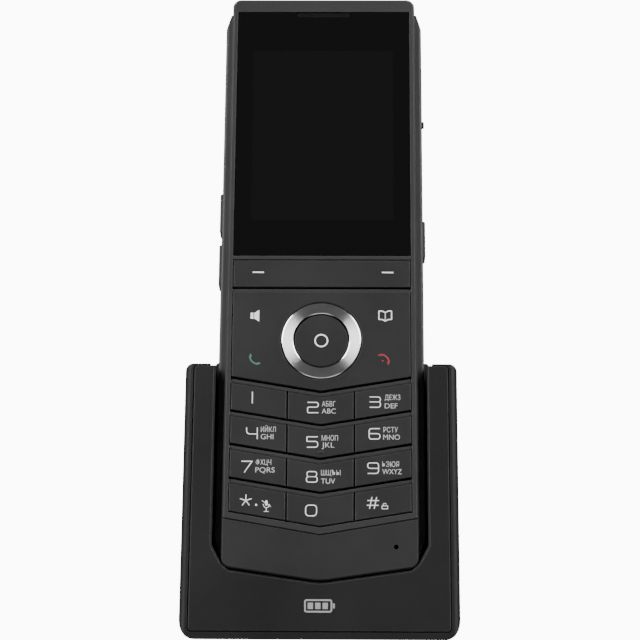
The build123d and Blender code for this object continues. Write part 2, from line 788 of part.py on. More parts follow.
liner_front_depth = panel_thickness + 0.1
liner_back = liner_back_depth + 1.7
with BuildPart() as cradle_liner:
    with BuildSketch(base_plane(liner_front_depth)):
        pocket_outline(liner_wall, arm_top - 0.4)
    extrude(amount=-(liner_back - liner_front_depth))
    # the back wall stands above the arms
    with BuildSketch(base_plane(liner_back_depth)):
        span((-pocket_half - liner_wall, arm_top - 10), (pocket_half + liner_wall, liner_top))
        fillet(vertices().group_by(Axis.Y)[-1], 0.8)
    extrude(amount=-(liner_back - liner_back_depth))
    with BuildSketch(base_plane(0)):
        pocket_outline(0, 95)
    extrude(amount=-liner_back_depth, mode=Mode.SUBTRACT)
    # holes for the charging pins in the floor
    with BuildSketch(end_plane(-8, pin_depth)):
        with Locations((-pin_x, 0), (pin_x, 0)):
            Circle(pin_radius + 0.3)
    extrude(amount=12, mode=Mode.SUBTRACT)
save(cradle_liner, "cradle_liner")

with BuildPart() as bottom_cover:
    with BuildSketch(Plane.XY.offset(base_ground)):
        cover_half = base_half - base_rim - 0.15
        span((-cover_half, front_y + 6.1), (cover_half, front_y + 74.85))
        fillet(vertices(), 1.0)
        with Locations(*base_screw_places):
            Circle(1.3, mode=Mode.SUBTRACT)
    extrude(amount=1.6)
    # shallow seats for the feet and the screw heads
    with BuildSketch(Plane.XY.offset(base_ground)):
        with Locations(*foot_places):
            Circle(4.2)
        with Locations(*base_screw_places):
            Circle(2.4)
    extrude(amount=0.5, mode=Mode.SUBTRACT)
save(bottom_cover, "bottom_cover")

with BuildPart() as base_feet:
    with BuildSketch(Plane.XY):
        with Locations(*foot_places):
            Circle(4.0)
    extrude(amount=base_ground + 0.5)
    fillet(faces().filter_by(Axis.Z).group_by(Axis.Z)[0].edges(), 0.5)
save(base_feet, "base_feet")

with BuildPart() as base_screws:
    with BuildSketch(Plane.XY.offset(base_ground + 0.05)):
        with Locations(*base_screw_places):
            Circle(2.1)
    extrude(amount=0.45)
    with BuildSketch(Plane.XY.offset(base_ground + 0.4)):
        with Locations(*base_screw_places):
            Circle(1.1)
    extrude(amount=5.0)
    with BuildSketch(Plane.XY):
        with Locations(*base_screw_places):
            Rectangle(2.6, 0.5)
            Rectangle(0.5, 2.6)
    extrude(amount=base_ground + 0.35, mode=Mode.SUBTRACT)
save(base_screws, "base_screws")

with BuildPart() as ballast_plate:
    with BuildSketch(Plane.XY.offset(base_ground + 1.65)):
        with Locations((0, front_y + 43)):
            RectangleRounded(46, 26, 2)
    extrude(amount=4.5)
save(ballast_plate, "ballast_plate")

with BuildPart() as base_pcb:
    with BuildSketch(Plane.XY.offset(jack_height - 3.0)):
        with Locations((0, front_y + 66)):
            Rectangle(30, 16)
    extrude(amount=1.2)
save(base_pcb, "base_pcb")

with BuildPart() as power_inlet:
    with BuildSketch(Plane.XZ.offset(-front_y - base_depth + 1.2)):
        with Locations((0, jack_height)):
            SlotOverall(9.2, 3.4)
            SlotOverall(8.4, 2.6, mode=Mode.SUBTRACT)
    extrude(amount=7.0)
    with BuildSketch(Plane.XZ.offset(-front_y - base_depth + 7.2)):
        with Locations((0, jack_height)):
            SlotOverall(9.2, 3.4)
    extrude(amount=1.0)
    with BuildSketch(Plane.XZ.offset(-front_y - base_depth + 2.0)):
        with Locations((0, jack_height)):
            Rectangle(6.6, 0.7)
    extrude(amount=5.6)
save(power_inlet, "power_inlet")

# Spring-loaded charging pins in a block under the cradle's floor
pin_block_low = -6.6
pin_block_high = -2.2
pin_low = -4.98
with BuildPart() as pin_block:
    with BuildSketch(end_plane(pin_block_low, pin_depth)):
        RectangleRounded(16, 5.0, 1.0)
    extrude(amount=pin_block_high - pin_block_low)
    with BuildSketch(end_plane(pin_block_low + 0.4, pin_depth)):
        with Locations((-pin_x, 0), (pin_x, 0)):
            Circle(pin_radius + 0.06)
    extrude(amount=10, mode=Mode.SUBTRACT)
save(pin_block, "pin_block")

for name, side in (("left", -1), ("right", 1)):
    with BuildPart() as charge_pin:
        with BuildSketch(end_plane(pin_low, pin_depth)):
            with Locations((-side * pin_x, 0)):
                Circle(pin_radius)
        extrude(amount=contact_height - 0.03 - pin_low)
        fillet(faces().sort_by(up_axis)[-1].edges(), 0.45)
    save(charge_pin, f"charge_pin_{name}")

    seat = end_plane(pin_block_low + 0.52, pin_depth).from_local_coords(Vector(-side * pin_x, 0, 0))
    coil_plane = Plane(origin=seat, x_dir=(1, 0, 0), z_dir=upward)
    with BuildPart() as pin_spring:
        with BuildLine(coil_plane) as coil:
            Helix(pitch=0.36, height=0.94, radius=0.7)
        with BuildSketch(Plane(origin=coil.line @ 0, z_dir=coil.line % 0)):
            Circle(0.1)
        sweep(is_frenet=True)
    save(pin_spring, f"pin_spring_{name}")
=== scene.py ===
import bpy
import bmesh
import json
import math
from mathutils import Matrix, Vector


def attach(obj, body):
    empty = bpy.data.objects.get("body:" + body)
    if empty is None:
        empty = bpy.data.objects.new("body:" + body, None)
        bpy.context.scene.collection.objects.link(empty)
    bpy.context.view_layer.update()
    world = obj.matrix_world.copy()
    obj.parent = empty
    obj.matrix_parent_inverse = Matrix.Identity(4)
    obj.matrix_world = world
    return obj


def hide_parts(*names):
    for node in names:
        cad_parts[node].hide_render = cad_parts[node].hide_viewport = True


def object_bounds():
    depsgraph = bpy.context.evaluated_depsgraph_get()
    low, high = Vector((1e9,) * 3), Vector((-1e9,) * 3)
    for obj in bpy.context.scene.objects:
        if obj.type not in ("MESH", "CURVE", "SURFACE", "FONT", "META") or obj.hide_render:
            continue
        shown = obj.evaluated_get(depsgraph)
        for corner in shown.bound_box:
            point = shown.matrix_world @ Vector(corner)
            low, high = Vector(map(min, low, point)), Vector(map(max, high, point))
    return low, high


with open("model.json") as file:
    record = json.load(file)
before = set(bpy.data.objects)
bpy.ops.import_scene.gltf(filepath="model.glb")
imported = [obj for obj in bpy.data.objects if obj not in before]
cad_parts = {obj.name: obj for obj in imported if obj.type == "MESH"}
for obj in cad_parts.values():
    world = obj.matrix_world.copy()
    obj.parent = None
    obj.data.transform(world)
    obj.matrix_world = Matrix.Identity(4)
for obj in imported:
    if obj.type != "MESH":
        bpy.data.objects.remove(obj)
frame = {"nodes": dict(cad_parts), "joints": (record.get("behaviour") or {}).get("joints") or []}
cadLow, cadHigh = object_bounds()
print("stage: frame loaded")

mm = 0.001
jointAxis = {j["name"]: Vector(j["axis"]).normalized() for j in frame["joints"]}
right = Vector((1, 0, 0))
up = jointAxis["handset_lift"]          # along the leaning faces
out = -jointAxis["battery_door_off"]    # out of the faces


def faceBox(node):
    # lowest and highest of a node as (across, along the face, out of the face)
    spots = [v.co for v in frame["nodes"][node].data.vertices]
    axes = (right, up, out)
    low = Vector([min(s.dot(a) for s in spots) for a in axes])
    high = Vector([max(s.dot(a) for s in spots) for a in axes])
    return low, high


chinFoot = faceBox("chin_cover")[0].y


def facePoint(x, h, height):
    # x from the middle and h from the chin's point in mm, height along the face's normal in metres
    return right * x * mm + up * (chinFoot + h * mm) + out * height


# shader helpers
def addNode(tree, kind, **values):
    node = tree.nodes.new(kind)
    for key, value in values.items():
        setattr(node, key, value)
    return node


def setInputs(node, **values):
    for key, value in values.items():
        node.inputs[key.replace("_", " ")].default_value = value
    return node


def newGroup(name, inputs, outputs):
    tree = bpy.data.node_groups.new(name, "ShaderNodeTree")
    addSocket = tree.interface.new_socket
    for label, kind, value in inputs:
        addSocket(label, in_out="INPUT", socket_type="NodeSocket" + kind).default_value = value
    for label, kind in outputs:
        addSocket(label, in_out="OUTPUT", socket_type="NodeSocket" + kind)
    return tree, addNode(tree, "NodeGroupInput"), addNode(tree, "NodeGroupOutput")


mouldedLook = dict(
    grainDetail=3.0, grainRough=0.6, grainHeight=0.1, pitShare=0.6,         # height in mm
    cloudScale=45.0, cloudDetail=4.0, cloudRough=0.55, grainShare=0.5,      # the slow tone
    middle=0.75, roughSwing=0.25, bevelSamples=6,
    usualSpecular=0.22,     # moulded texture scatters most of the gloss
)


def makeMouldedGroup(s):
    # fine spark-eroded texture, slow tone changes and edges painted lighter as a highlight, shared by every
    # plastic
    tree, given, result = newGroup(
        "mouldedSurface",
        (
            ("Color", "Color", (0.05, 0.05, 0.05, 1)), ("Rubbed", "Color", (0.1, 0.1, 0.1, 1)),
            ("Roughness", "Float", 0.5), ("Grain", "Float", 4000.0), ("Tone", "Float", 0.1),
            ("Edge", "Float", 1.0), ("Radius", "Float", 0.0002),
        ),
        (("Color", "Color"), ("Roughness", "Float"), ("Height", "Float"), ("Normal", "Vector")),
    )
    link = tree.links.new
    place = addNode(tree, "ShaderNodeTexCoord")
    fine = addNode(tree, "ShaderNodeTexNoise")
    setInputs(fine, Detail=s["grainDetail"], Roughness=s["grainRough"])
    pits = addNode(tree, "ShaderNodeTexVoronoi", feature="SMOOTH_F1")
    for texture in (fine, pits):
        link(place.outputs["Object"], texture.inputs["Vector"])
        link(given.outputs["Grain"], texture.inputs["Scale"])
    height = addNode(tree, "ShaderNodeMath", operation="MULTIPLY_ADD")
    height.inputs[1].default_value = s["pitShare"]
    link(pits.outputs["Distance"], height.inputs[0])
    link(fine.outputs["Fac"], height.inputs[2])
    link(height.outputs[0], result.inputs["Height"])
    # tone: a slow cloud plus a share of the grain, centred on nought
    slow = setInputs(addNode(tree, "ShaderNodeTexNoise"), Scale=s["cloudScale"], Detail=s["cloudDetail"])
    slow.inputs["Roughness"].default_value = s["cloudRough"]
    link(place.outputs["Object"], slow.inputs["Vector"])
    cloud = addNode(tree, "ShaderNodeMath", operation="MULTIPLY_ADD")
    cloud.inputs[1].default_value = s["grainShare"]
    link(fine.outputs["Fac"], cloud.inputs[0])
    link(slow.outputs["Fac"], cloud.inputs[2])
    centred = addNode(tree, "ShaderNodeMath", operation="SUBTRACT")
    centred.inputs[1].default_value = s["middle"]
    link(cloud.outputs[0], centred.inputs[0])
    tone = addNode(tree, "ShaderNodeMath", operation="MULTIPLY_ADD")
    tone.inputs[2].default_value = 1.0
    link(centred.outputs[0], tone.inputs[0])
    link(given.outputs["Tone"], tone.inputs[1])
    shade = addNode(tree, "ShaderNodeVectorMath", operation="SCALE")
    link(given.outputs["Color"], shade.inputs[0])
    link(tone.outputs[0], shade.inputs["Scale"])
    # edges: where the softened normal turns away from the true one, the colour is blended towards a lighter
    # one, a painted edge highlight
    bevel = addNode(tree, "ShaderNodeBevel", samples=s["bevelSamples"])
    link(given.outputs["Radius"], bevel.inputs["Radius"])
    flat = addNode(tree, "ShaderNodeNewGeometry")
    match = addNode(tree, "ShaderNodeVectorMath", operation="DOT_PRODUCT")
    link(bevel.outputs[0], match.inputs[0])
    link(flat.outputs["Normal"], match.inputs[1])
    turned = addNode(tree, "ShaderNodeMath", operation="SUBTRACT")
    turned.inputs[0].default_value = 1.0
    link(match.outputs["Value"], turned.inputs[1])
    paintedEdgeLight = addNode(tree, "ShaderNodeMath", operation="MULTIPLY", use_clamp=True)
    link(turned.outputs[0], paintedEdgeLight.inputs[0])
    link(given.outputs["Edge"], paintedEdgeLight.inputs[1])
    blend = addNode(tree, "ShaderNodeMix", data_type="RGBA")
    link(paintedEdgeLight.outputs[0], blend.inputs["Factor"])
    link(shade.outputs[0], blend.inputs["A"])
    link(given.outputs["Rubbed"], blend.inputs["B"])
    link(blend.outputs["Result"], result.inputs["Color"])
    rough = addNode(tree, "ShaderNodeMath", operation="MULTIPLY_ADD")
    rough.inputs[1].default_value = s["roughSwing"]
    link(centred.outputs[0], rough.inputs[0])
    link(given.outputs["Roughness"], rough.inputs[2])
    link(rough.outputs[0], result.inputs["Roughness"])
    link(bevel.outputs[0], result.inputs["Normal"])
    return tree


mouldedGroup = makeMouldedGroup(mouldedLook)


def newMaterial(name):
    material = bpy.data.materials.new(name)
    material.use_nodes = True
    return material, material.node_tree, material.node_tree.nodes["Principled BSDF"]


def gray(value):
    return (value, value, value, 1)


# radius of the edges painted lighter as a highlight, in mm; the second colour of each plastic is that
# painted highlight
plastics = {
    "housingPlastic": dict(
        color=gray(0.02), paintedEdgeLight=gray(0.085), rough=0.46, grain=5200,
        depth=0.10, tone=0.3, radius=0.22, edge=3.0,
    ),
    # the bands are twice as light as the housing: a painted lighter tone for sides that face the side lights
    "bandPlastic": dict(
        color=gray(0.04), paintedEdgeLight=gray(0.1), rough=0.42, grain=6500,
        depth=0.06, tone=0.25, radius=0.2, edge=2.0,
    ),
    "keyPlastic": dict(
        color=gray(0.0145), paintedEdgeLight=gray(0.11), rough=0.44, grain=6000,
        depth=0.08, tone=0.3, radius=0.14, edge=4.5,
    ),
    "chinPlastic": dict(
        color=gray(0.0135), paintedEdgeLight=gray(0.055), rough=0.48, grain=5200,
        depth=0.10, tone=0.3, radius=0.2, edge=2.5,
    ),
    # the base's plastics are a much darker copy of the housing's: painted shade for the base lying lower and
    # standing more upright under the lights
    "panelPlastic": dict(
        color=gray(0.0065), paintedEdgeLight=gray(0.1), rough=0.5, grain=3800,
        depth=0.14, tone=0.3, radius=0.22, edge=5.0, specular=0.19,
    ),
    "cradlePlastic": dict(
        color=gray(0.0085), paintedEdgeLight=gray(0.03), rough=0.48, grain=3800,
        depth=0.14, tone=0.3, radius=0.3, edge=1.5, specular=0.12,
    ),
    "linerPlastic": dict(
        color=gray(0.01), paintedEdgeLight=gray(0.018), rough=0.42, grain=4000,
        depth=0.06, tone=0.25, radius=0.2, edge=0.8,
    ),
    "earMeshPlastic": dict(
        color=gray(0.003), paintedEdgeLight=gray(0.006), rough=0.35, grain=5000,
        depth=0.05, tone=0.2, radius=0.05, edge=1.0,
    ),
    "softRubber": dict(
        color=gray(0.012), paintedEdgeLight=gray(0.02), rough=0.72, grain=3000,
        depth=0.12, tone=0.3, radius=0.15, edge=0.5,
    ),
    "moduleBlack": dict(
        color=gray(0.012), paintedEdgeLight=gray(0.025), rough=0.4, grain=3000,
        depth=0.06, tone=0.2, radius=0.1, edge=0.8,
    ),
    "batteryWrap": dict(
        color=(0.03, 0.04, 0.06, 1), paintedEdgeLight=gray(0.12), rough=0.3, grain=1500,
        depth=0.04, tone=0.15, radius=0.3, edge=0.6,
    ),
}


def makePlastic(name, s):
    material, tree, shader = newMaterial(name)
    link = tree.links.new
    look = addNode(tree, "ShaderNodeGroup", node_tree=mouldedGroup)
    # the second colour is a lighter one laid along the edges as a painted highlight
    setInputs(look, Color=s["color"], Rubbed=s["paintedEdgeLight"], Roughness=s["rough"], Grain=s["grain"])
    setInputs(look, Tone=s["tone"], Edge=s["edge"], Radius=s["radius"] * mm)
    bump = addNode(tree, "ShaderNodeBump")
    setInputs(bump, Strength=s["depth"], Distance=mouldedLook["grainHeight"] * mm)
    gloss = s.get("specular", mouldedLook["usualSpecular"])
    shader.inputs["Specular IOR Level"].default_value = gloss
    link(look.outputs["Color"], shader.inputs["Base Color"])
    link(look.outputs["Roughness"], shader.inputs["Roughness"])
    link(look.outputs["Height"], bump.inputs["Height"])
    link(look.outputs["Normal"], bump.inputs["Normal"])
    link(bump.outputs["Normal"], shader.inputs["Normal"])
    return material


materials = {name: makePlastic(name, s) for name, s in plastics.items()}
print("stage: plastics made")

metals = {
    "plainSteel": dict(color=(0.55, 0.55, 0.56, 1), rough=0.32, grain=900),
    "goldContact": dict(color=(0.86, 0.62, 0.25, 1), rough=0.25, grain=1200),
    "socketSteel": dict(color=(0.30, 0.30, 0.31, 1), rough=0.38, grain=1500),
}
metalWear = dict(smooth=0.75, rough=1.25, dull=0.85)       # shares of a metal's own roughness and colour


def makeMetal(name, s):
    material, tree, shader = newMaterial(name)
    link = tree.links.new
    place = addNode(tree, "ShaderNodeTexCoord")
    noise = setInputs(addNode(tree, "ShaderNodeTexNoise"), Scale=s["grain"], Detail=4.0)
    link(place.outputs["Object"], noise.inputs["Vector"])
    spread = addNode(tree, "ShaderNodeMapRange")
    setInputs(spread, To_Min=s["rough"] * metalWear["smooth"], To_Max=s["rough"] * metalWear["rough"])
    link(noise.outputs["Fac"], spread.inputs["Value"])
    link(spread.outputs[0], shader.inputs["Roughness"])
    tint = addNode(tree, "ShaderNodeMix", data_type="RGBA")
    tint.inputs["A"].default_value = s["color"]
    tint.inputs["B"].default_value = [c * metalWear["dull"] for c in s["color"][:3]] + [1]
    link(noise.outputs["Fac"], tint.inputs["Factor"])
    link(tint.outputs["Result"], shader.inputs["Base Color"])
    shader.inputs["Metallic"].default_value = 1.0
    return material


for name, s in metals.items():
    materials[name] = makeMetal(name, s)

boardLook = dict(
    mask=(0.010, 0.075, 0.030, 1), maskLight=(0.012, 0.090, 0.036, 1), track=(0.020, 0.150, 0.060, 1),
    scale=220.0, trackWidth=0.03, rough=0.35,
)


def makeBoard(s):
    # green solder mask over copper tracks
    material, tree, shader = newMaterial("circuitBoard")
    link = tree.links.new
    place = addNode(tree, "ShaderNodeTexCoord")
    tracks = setInputs(
        addNode(tree, "ShaderNodeTexBrick"), Scale=s["scale"], Mortar_Size=s["trackWidth"],
        Color1=s["mask"], Color2=s["maskLight"], Mortar=s["track"],
    )
    link(place.outputs["Object"], tracks.inputs["Vector"])
    link(tracks.outputs["Color"], shader.inputs["Base Color"])
    shader.inputs["Roughness"].default_value = s["rough"]
    return material


materials["circuitBoard"] = makeBoard(boardLook)

glassLook = dict(
    border=0.0032, picture=0.0044, rough=0.05, smear=0.05, smearScale=60.0, index=1.5,
    half=18.35, low=93.4, high=141.1,       # the picture area, mm from the middle and the chin's point
)


def makeGlass(s):
    # black print behind cover glass; the switched-off picture area is a shade lighter
    material, tree, shader = newMaterial("coverGlass")
    link = tree.links.new
    place = addNode(tree, "ShaderNodeTexCoord")
    noise = setInputs(addNode(tree, "ShaderNodeTexNoise"), Scale=s["smearScale"], Detail=3.0)
    link(place.outputs["Object"], noise.inputs["Vector"])
    smear = addNode(tree, "ShaderNodeMapRange")
    setInputs(smear, To_Min=s["rough"], To_Max=s["rough"] + s["smear"])
    link(noise.outputs["Fac"], smear.inputs["Value"])
    link(smear.outputs[0], shader.inputs["Roughness"])
    window = addNode(tree, "ShaderNodeMath", operation="MULTIPLY")
    extents = (
        (right, -s["half"] * mm, s["half"] * mm),
        (up, chinFoot + s["low"] * mm, chinFoot + s["high"] * mm),
    )
    for i, (axis, low, high) in enumerate(extents):
        along = addNode(tree, "ShaderNodeVectorMath", operation="DOT_PRODUCT")
        link(place.outputs["Object"], along.inputs[0])
        along.inputs[1].default_value = axis
        inside = addNode(tree, "ShaderNodeMath", operation="COMPARE")
        inside.inputs[1].default_value = (low + high) / 2
        inside.inputs[2].default_value = (high - low) / 2
        link(along.outputs["Value"], inside.inputs[0])
        link(inside.outputs[0], window.inputs[i])
    mix = addNode(tree, "ShaderNodeMix", data_type="RGBA")
    mix.inputs["A"].default_value = gray(s["border"])
    mix.inputs["B"].default_value = gray(s["picture"])
    link(window.outputs[0], mix.inputs["Factor"])
    link(mix.outputs["Result"], shader.inputs["Base Color"])
    shader.inputs["IOR"].default_value = s["index"]
    return material


materials["coverGlass"] = makeGlass(glassLook)

inks = {
    "whiteInk": (0.76, 0.76, 0.76, 1),
    "letterInk": (0.42, 0.42, 0.42, 1),
    "greenInk": (0.038, 0.125, 0.092, 1),
    "redInk": (0.25, 0.009, 0.027, 1),
    "grayInk": (0.24, 0.24, 0.24, 1),
}
inkFinish = dict(scale=3500.0, thin=0.85, rough=0.55)       # thin: the colour's share where it covers less


def makeInk(name, color, s):
    # screen print: a little uneven in cover
    material, tree, shader = newMaterial(name)
    link = tree.links.new
    place = addNode(tree, "ShaderNodeTexCoord")
    noise = setInputs(addNode(tree, "ShaderNodeTexNoise"), Scale=s["scale"], Detail=2.0)
    link(place.outputs["Object"], noise.inputs["Vector"])
    mix = addNode(tree, "ShaderNodeMix", data_type="RGBA")
    mix.inputs["A"].default_value = [c * s["thin"] for c in color[:3]] + [1]
    mix.inputs["B"].default_value = color
    link(noise.outputs["Fac"], mix.inputs["Factor"])
    link(mix.outputs["Result"], shader.inputs["Base Color"])
    shader.inputs["Roughness"].default_value = s["rough"]
    return material


for name, color in inks.items():
    materials[name] = makeInk(name, color, inkFinish)

keyNames = ["1", "2", "3", "4", "5", "6", "7", "8", "9", "star", "0", "hash"]
nodeMaterials = {
    "housingPlastic": ["front_housing", "rear_housing", "battery_door"],
    "bandPlastic": [
        "side_band_left", "side_band_right", "volume_up_key", "volume_down_key", "talk_side_key",
    ],
    "keyPlastic": ["soft_key_bar", "function_key_plate", "ok_key"] + [f"key_{k}" for k in keyNames],
    "chinPlastic": ["chin_cover"],
    "panelPlastic": ["base_front_panel"],
    "cradlePlastic": ["base_shell", "bottom_cover"],
    "linerPlastic": ["cradle_liner", "pin_block"],
    "earMeshPlastic": ["earpiece_mesh"],
    "softRubber": ["port_cover", "base_feet", "keypad_mat", "display_gasket"],
    "moduleBlack": ["earpiece_receiver", "microphone", "loudspeaker", "headset_jack"],
    "batteryWrap": ["battery_pack"],
    "circuitBoard": ["main_pcb", "base_pcb"],
    "coverGlass": ["screen_lens", "lcd_module"],
    "goldContact": ["charge_contacts", "charge_pin_left", "charge_pin_right", "battery_contacts"],
    "plainSteel": [
        "nav_spring_ring", "plate_spring_ring", "housing_screws", "base_screws", "pin_spring_left",
        "pin_spring_right", "vibration_motor", "ballast_plate",
    ],
    "socketSteel": ["power_inlet", "data_port"],
}
for name, nodes in nodeMaterials.items():
    for node in nodes:
        mesh = frame["nodes"][node].data
        mesh.materials.clear()
        mesh.materials.append(materials[name])
print("stage: frame parts dressed")

# the navigation ring: turned metal with grooves round its centre and two bright chamfers
ringPlan = dict(
    segments=192, chamfer=0.11, slope=0.36, depth=1.7, hole=7.1, sharpAngle=15,     # mm and degrees
    brushed=dict(
        color=(0.80, 0.80, 0.81, 1), rough=0.37, swing=0.2,         # swing of the roughness and the tone
        groove=9000.0, strength=0.12, depth=0.02, stretch=1.0, stretchTurn=0.25,
    ),
    polished=dict(color=(0.85, 0.85, 0.86, 1), rough=0.12, grain=600),
)


def makeBrushedMetal(s):
    material, tree, shader = newMaterial("brushedRing")
    link = tree.links.new
    place = addNode(tree, "ShaderNodeTexCoord")
    plan = addNode(tree, "ShaderNodeVectorMath", operation="MULTIPLY")
    plan.inputs[1].default_value = (1, 1, 0)
    link(place.outputs["Object"], plan.inputs[0])
    reach = addNode(tree, "ShaderNodeVectorMath", operation="LENGTH")
    link(plan.outputs[0], reach.inputs[0])
    grooves = addNode(tree, "ShaderNodeTexNoise", noise_dimensions="1D")
    setInputs(grooves, Scale=s["groove"], Detail=3.0)
    link(reach.outputs["Value"], grooves.inputs["W"])
    spread = addNode(tree, "ShaderNodeMapRange")
    setInputs(spread, To_Min=s["rough"] * (1 - s["swing"]), To_Max=s["rough"] * (1 + s["swing"]))
    link(grooves.outputs["Fac"], spread.inputs["Value"])
    link(spread.outputs[0], shader.inputs["Roughness"])
    tint = addNode(tree, "ShaderNodeMix", data_type="RGBA")
    tint.inputs["A"].default_value = [c * (1 - s["swing"]) for c in s["color"][:3]] + [1]
    tint.inputs["B"].default_value = s["color"]
    link(grooves.outputs["Fac"], tint.inputs["Factor"])
    link(tint.outputs["Result"], shader.inputs["Base Color"])
    bump = setInputs(addNode(tree, "ShaderNodeBump"), Strength=s["strength"], Distance=s["depth"] * mm)
    link(grooves.outputs["Fac"], bump.inputs["Height"])
    link(bump.outputs["Normal"], shader.inputs["Normal"])
    turn = addNode(tree, "ShaderNodeTangent", direction_type="RADIAL", axis="Z")
    link(turn.outputs[0], shader.inputs["Tangent"])
    setInputs(shader, Metallic=1.0, Anisotropic=s["stretch"], Anisotropic_Rotation=s["stretchTurn"])
    return material


def makeRing(s):
    low, high = faceBox("nav_ring")
    radius = (high.x - low.x) / 2
    middle = (low + high) / 2
    cut = s["chamfer"] * mm
    fall = cut * s["slope"]
    hole = s["hole"] * mm
    profile = [
        (hole, -s["depth"] * mm), (hole, -fall), (hole + cut, 0), (radius - cut, 0), (radius, -fall),
        (radius, -s["depth"] * mm),
    ]
    bm = bmesh.new()
    rows = []
    for k in range(s["segments"]):
        t = 2 * math.pi * k / s["segments"]
        rows.append([bm.verts.new((r * math.cos(t), r * math.sin(t), z)) for r, z in profile])
    for k, row in enumerate(rows):
        after = rows[(k + 1) % len(rows)]
        for i in range(len(profile)):
            j = (i + 1) % len(profile)
            face = bm.faces.new((row[i], after[i], after[j], row[j]))
            face.smooth = True
            face.material_index = 0 if i == 2 else 1        # the flat top is brushed, the rest polished
    bmesh.ops.recalc_face_normals(bm, faces=bm.faces)
    for edge in bm.edges:
        edge.smooth = edge.calc_face_angle(0) < math.radians(s["sharpAngle"])
    mesh = bpy.data.meshes.new("navigationRing")
    bm.to_mesh(mesh)
    bm.free()
    mesh.materials.append(makeBrushedMetal(s["brushed"]))
    mesh.materials.append(makeMetal("polishedChamfer", s["polished"]))
    ring = bpy.data.objects.new("navigationRing", mesh)
    bpy.context.scene.collection.objects.link(ring)
    centre = right * middle.x + up * middle.y + out * high.z
    ring.matrix_world = Matrix.Translation(centre) @ Matrix((right, up, out)).transposed().to_4x4()
    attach(ring, "nav_ring")
    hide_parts("nav_ring")


makeRing(ringPlan)
print("stage: ring turned")


# printed marks: flat strokes a hair above the surface they stand on, with their sizes in mm
inkLook = dict(
    stroke=0.225, lift=0.012,       # a digit's line, and the gap under the print
    cap=1.32, capShare=0.70,        # height of the small capitals, and its share of the font's size
    bold=-0.002, inset=0.06,        # change of the font's weight, and what each end of a word gives up
    mitre=0.35,                     # keeps a sharp corner from growing a spike
)


def arcPoints(corners, closed=False, steps=7):
    # a path of straight runs from (x, y, radius) corners, each turned into an arc
    count = len(corners)
    result = []
    for i, (x, y, radius) in enumerate(corners):
        here = Vector((x, y))
        if radius == 0 or (not closed and i in (0, count - 1)):
            result.append(here)
            continue
        before = Vector(corners[i - 1][:2])
        after = Vector(corners[(i + 1) % count][:2])
        toBefore = (before - here).normalized()
        toAfter = (after - here).normalized()
        angle = toBefore.angle(toAfter)
        cut = min(radius / math.tan(angle / 2), 0.5 * (before - here).length, 0.5 * (after - here).length)
        centre = here + (toBefore + toAfter).normalized() * (cut / math.cos(angle / 2))
        start = here + toBefore * cut - centre
        turn = start.angle_signed(here + toAfter * cut - centre)
        result += [centre + Matrix.Rotation(-turn * k / steps, 2) @ start for k in range(steps + 1)]
    return result


def circlePoints(x, y, radius, steps=40):
    turns = [2 * math.pi * k / steps for k in range(steps)]
    return [Vector((x + radius * math.cos(t), y + radius * math.sin(t))) for t in turns]


def ribbon(bm, path, width, closed, place):
    # a flat stroke of even width along a path
    count = len(path)
    pairs = []
    for i, here in enumerate(path):
        before = (here - path[i - 1]).normalized() if closed or i > 0 else None
        after = (path[(i + 1) % count] - here).normalized() if closed or i < count - 1 else None
        a = before or after
        along = ((before or after) + (after or before)).normalized()
        side = Vector((-along.y, along.x)) * (width / 2) / max(inkLook["mitre"], along.dot(a))
        pairs.append((bm.verts.new(place(here + side)), bm.verts.new(place(here - side))))
    for i in range(count if closed else count - 1):
        a, b = pairs[i], pairs[(i + 1) % count]
        bm.faces.new((a[0], a[1], b[1], b[0]))


def patch(bm, outline, place):
    bm.faces.new([bm.verts.new(place(Vector(p))) for p in outline])


def addLetters(bm, text, low, high, base, place):
    # a word in plain capitals, fitted between two ends on a base line
    curve = bpy.data.curves.new("word", "FONT")
    curve.body = text
    curve.resolution_u = 4
    curve.offset = inkLook["bold"]
    holder = bpy.data.objects.new("word", curve)
    bpy.context.scene.collection.objects.link(holder)
    bpy.context.view_layer.update()
    graph = bpy.context.evaluated_depsgraph_get()
    mesh = bpy.data.meshes.new_from_object(holder.evaluated_get(graph))
    xs = [v.co.x for v in mesh.vertices]
    low, high = low + inkLook["inset"], high - inkLook["inset"]
    wide = (high - low) / (max(xs) - min(xs))
    tall = inkLook["cap"] / inkLook["capShare"]
    left = min(xs)
    spots = [
        bm.verts.new(place(Vector((low + (v.co.x - left) * wide, base + v.co.y * tall))))
        for v in mesh.vertices
    ]
    for polygon in mesh.polygons:
        bm.faces.new([spots[i] for i in polygon.vertices]).material_index = 1
    bpy.data.objects.remove(holder)
    bpy.data.curves.remove(curve)
    bpy.data.meshes.remove(mesh)


def placer(node, turn=0.0, x=0.0, h=0.0):
    # from mm on the face to the frame, just above that node's highest surface
    height = faceBox(node)[1].z + inkLook["lift"] * mm
    spin = Matrix.Rotation(math.radians(turn), 2)

    def place(p):
        spot = spin @ p + Vector((x, h))
        return facePoint(spot.x, spot.y, height)
    return place


def finishPrint(bm, name, material, body):
    for face in bm.faces:
        face.normal_update()
        if face.normal.dot(out) < 0:
            face.normal_flip()
    mesh = bpy.data.meshes.new(name)
    bm.to_mesh(mesh)
    bm.free()
    mesh.materials.append(materials[material])
    if any(face.material_index for face in mesh.polygons):
        mesh.materials.append(materials["letterInk"])
    piece = bpy.data.objects.new(name, mesh)
    bpy.context.scene.collection.objects.link(piece)
    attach(piece, body)


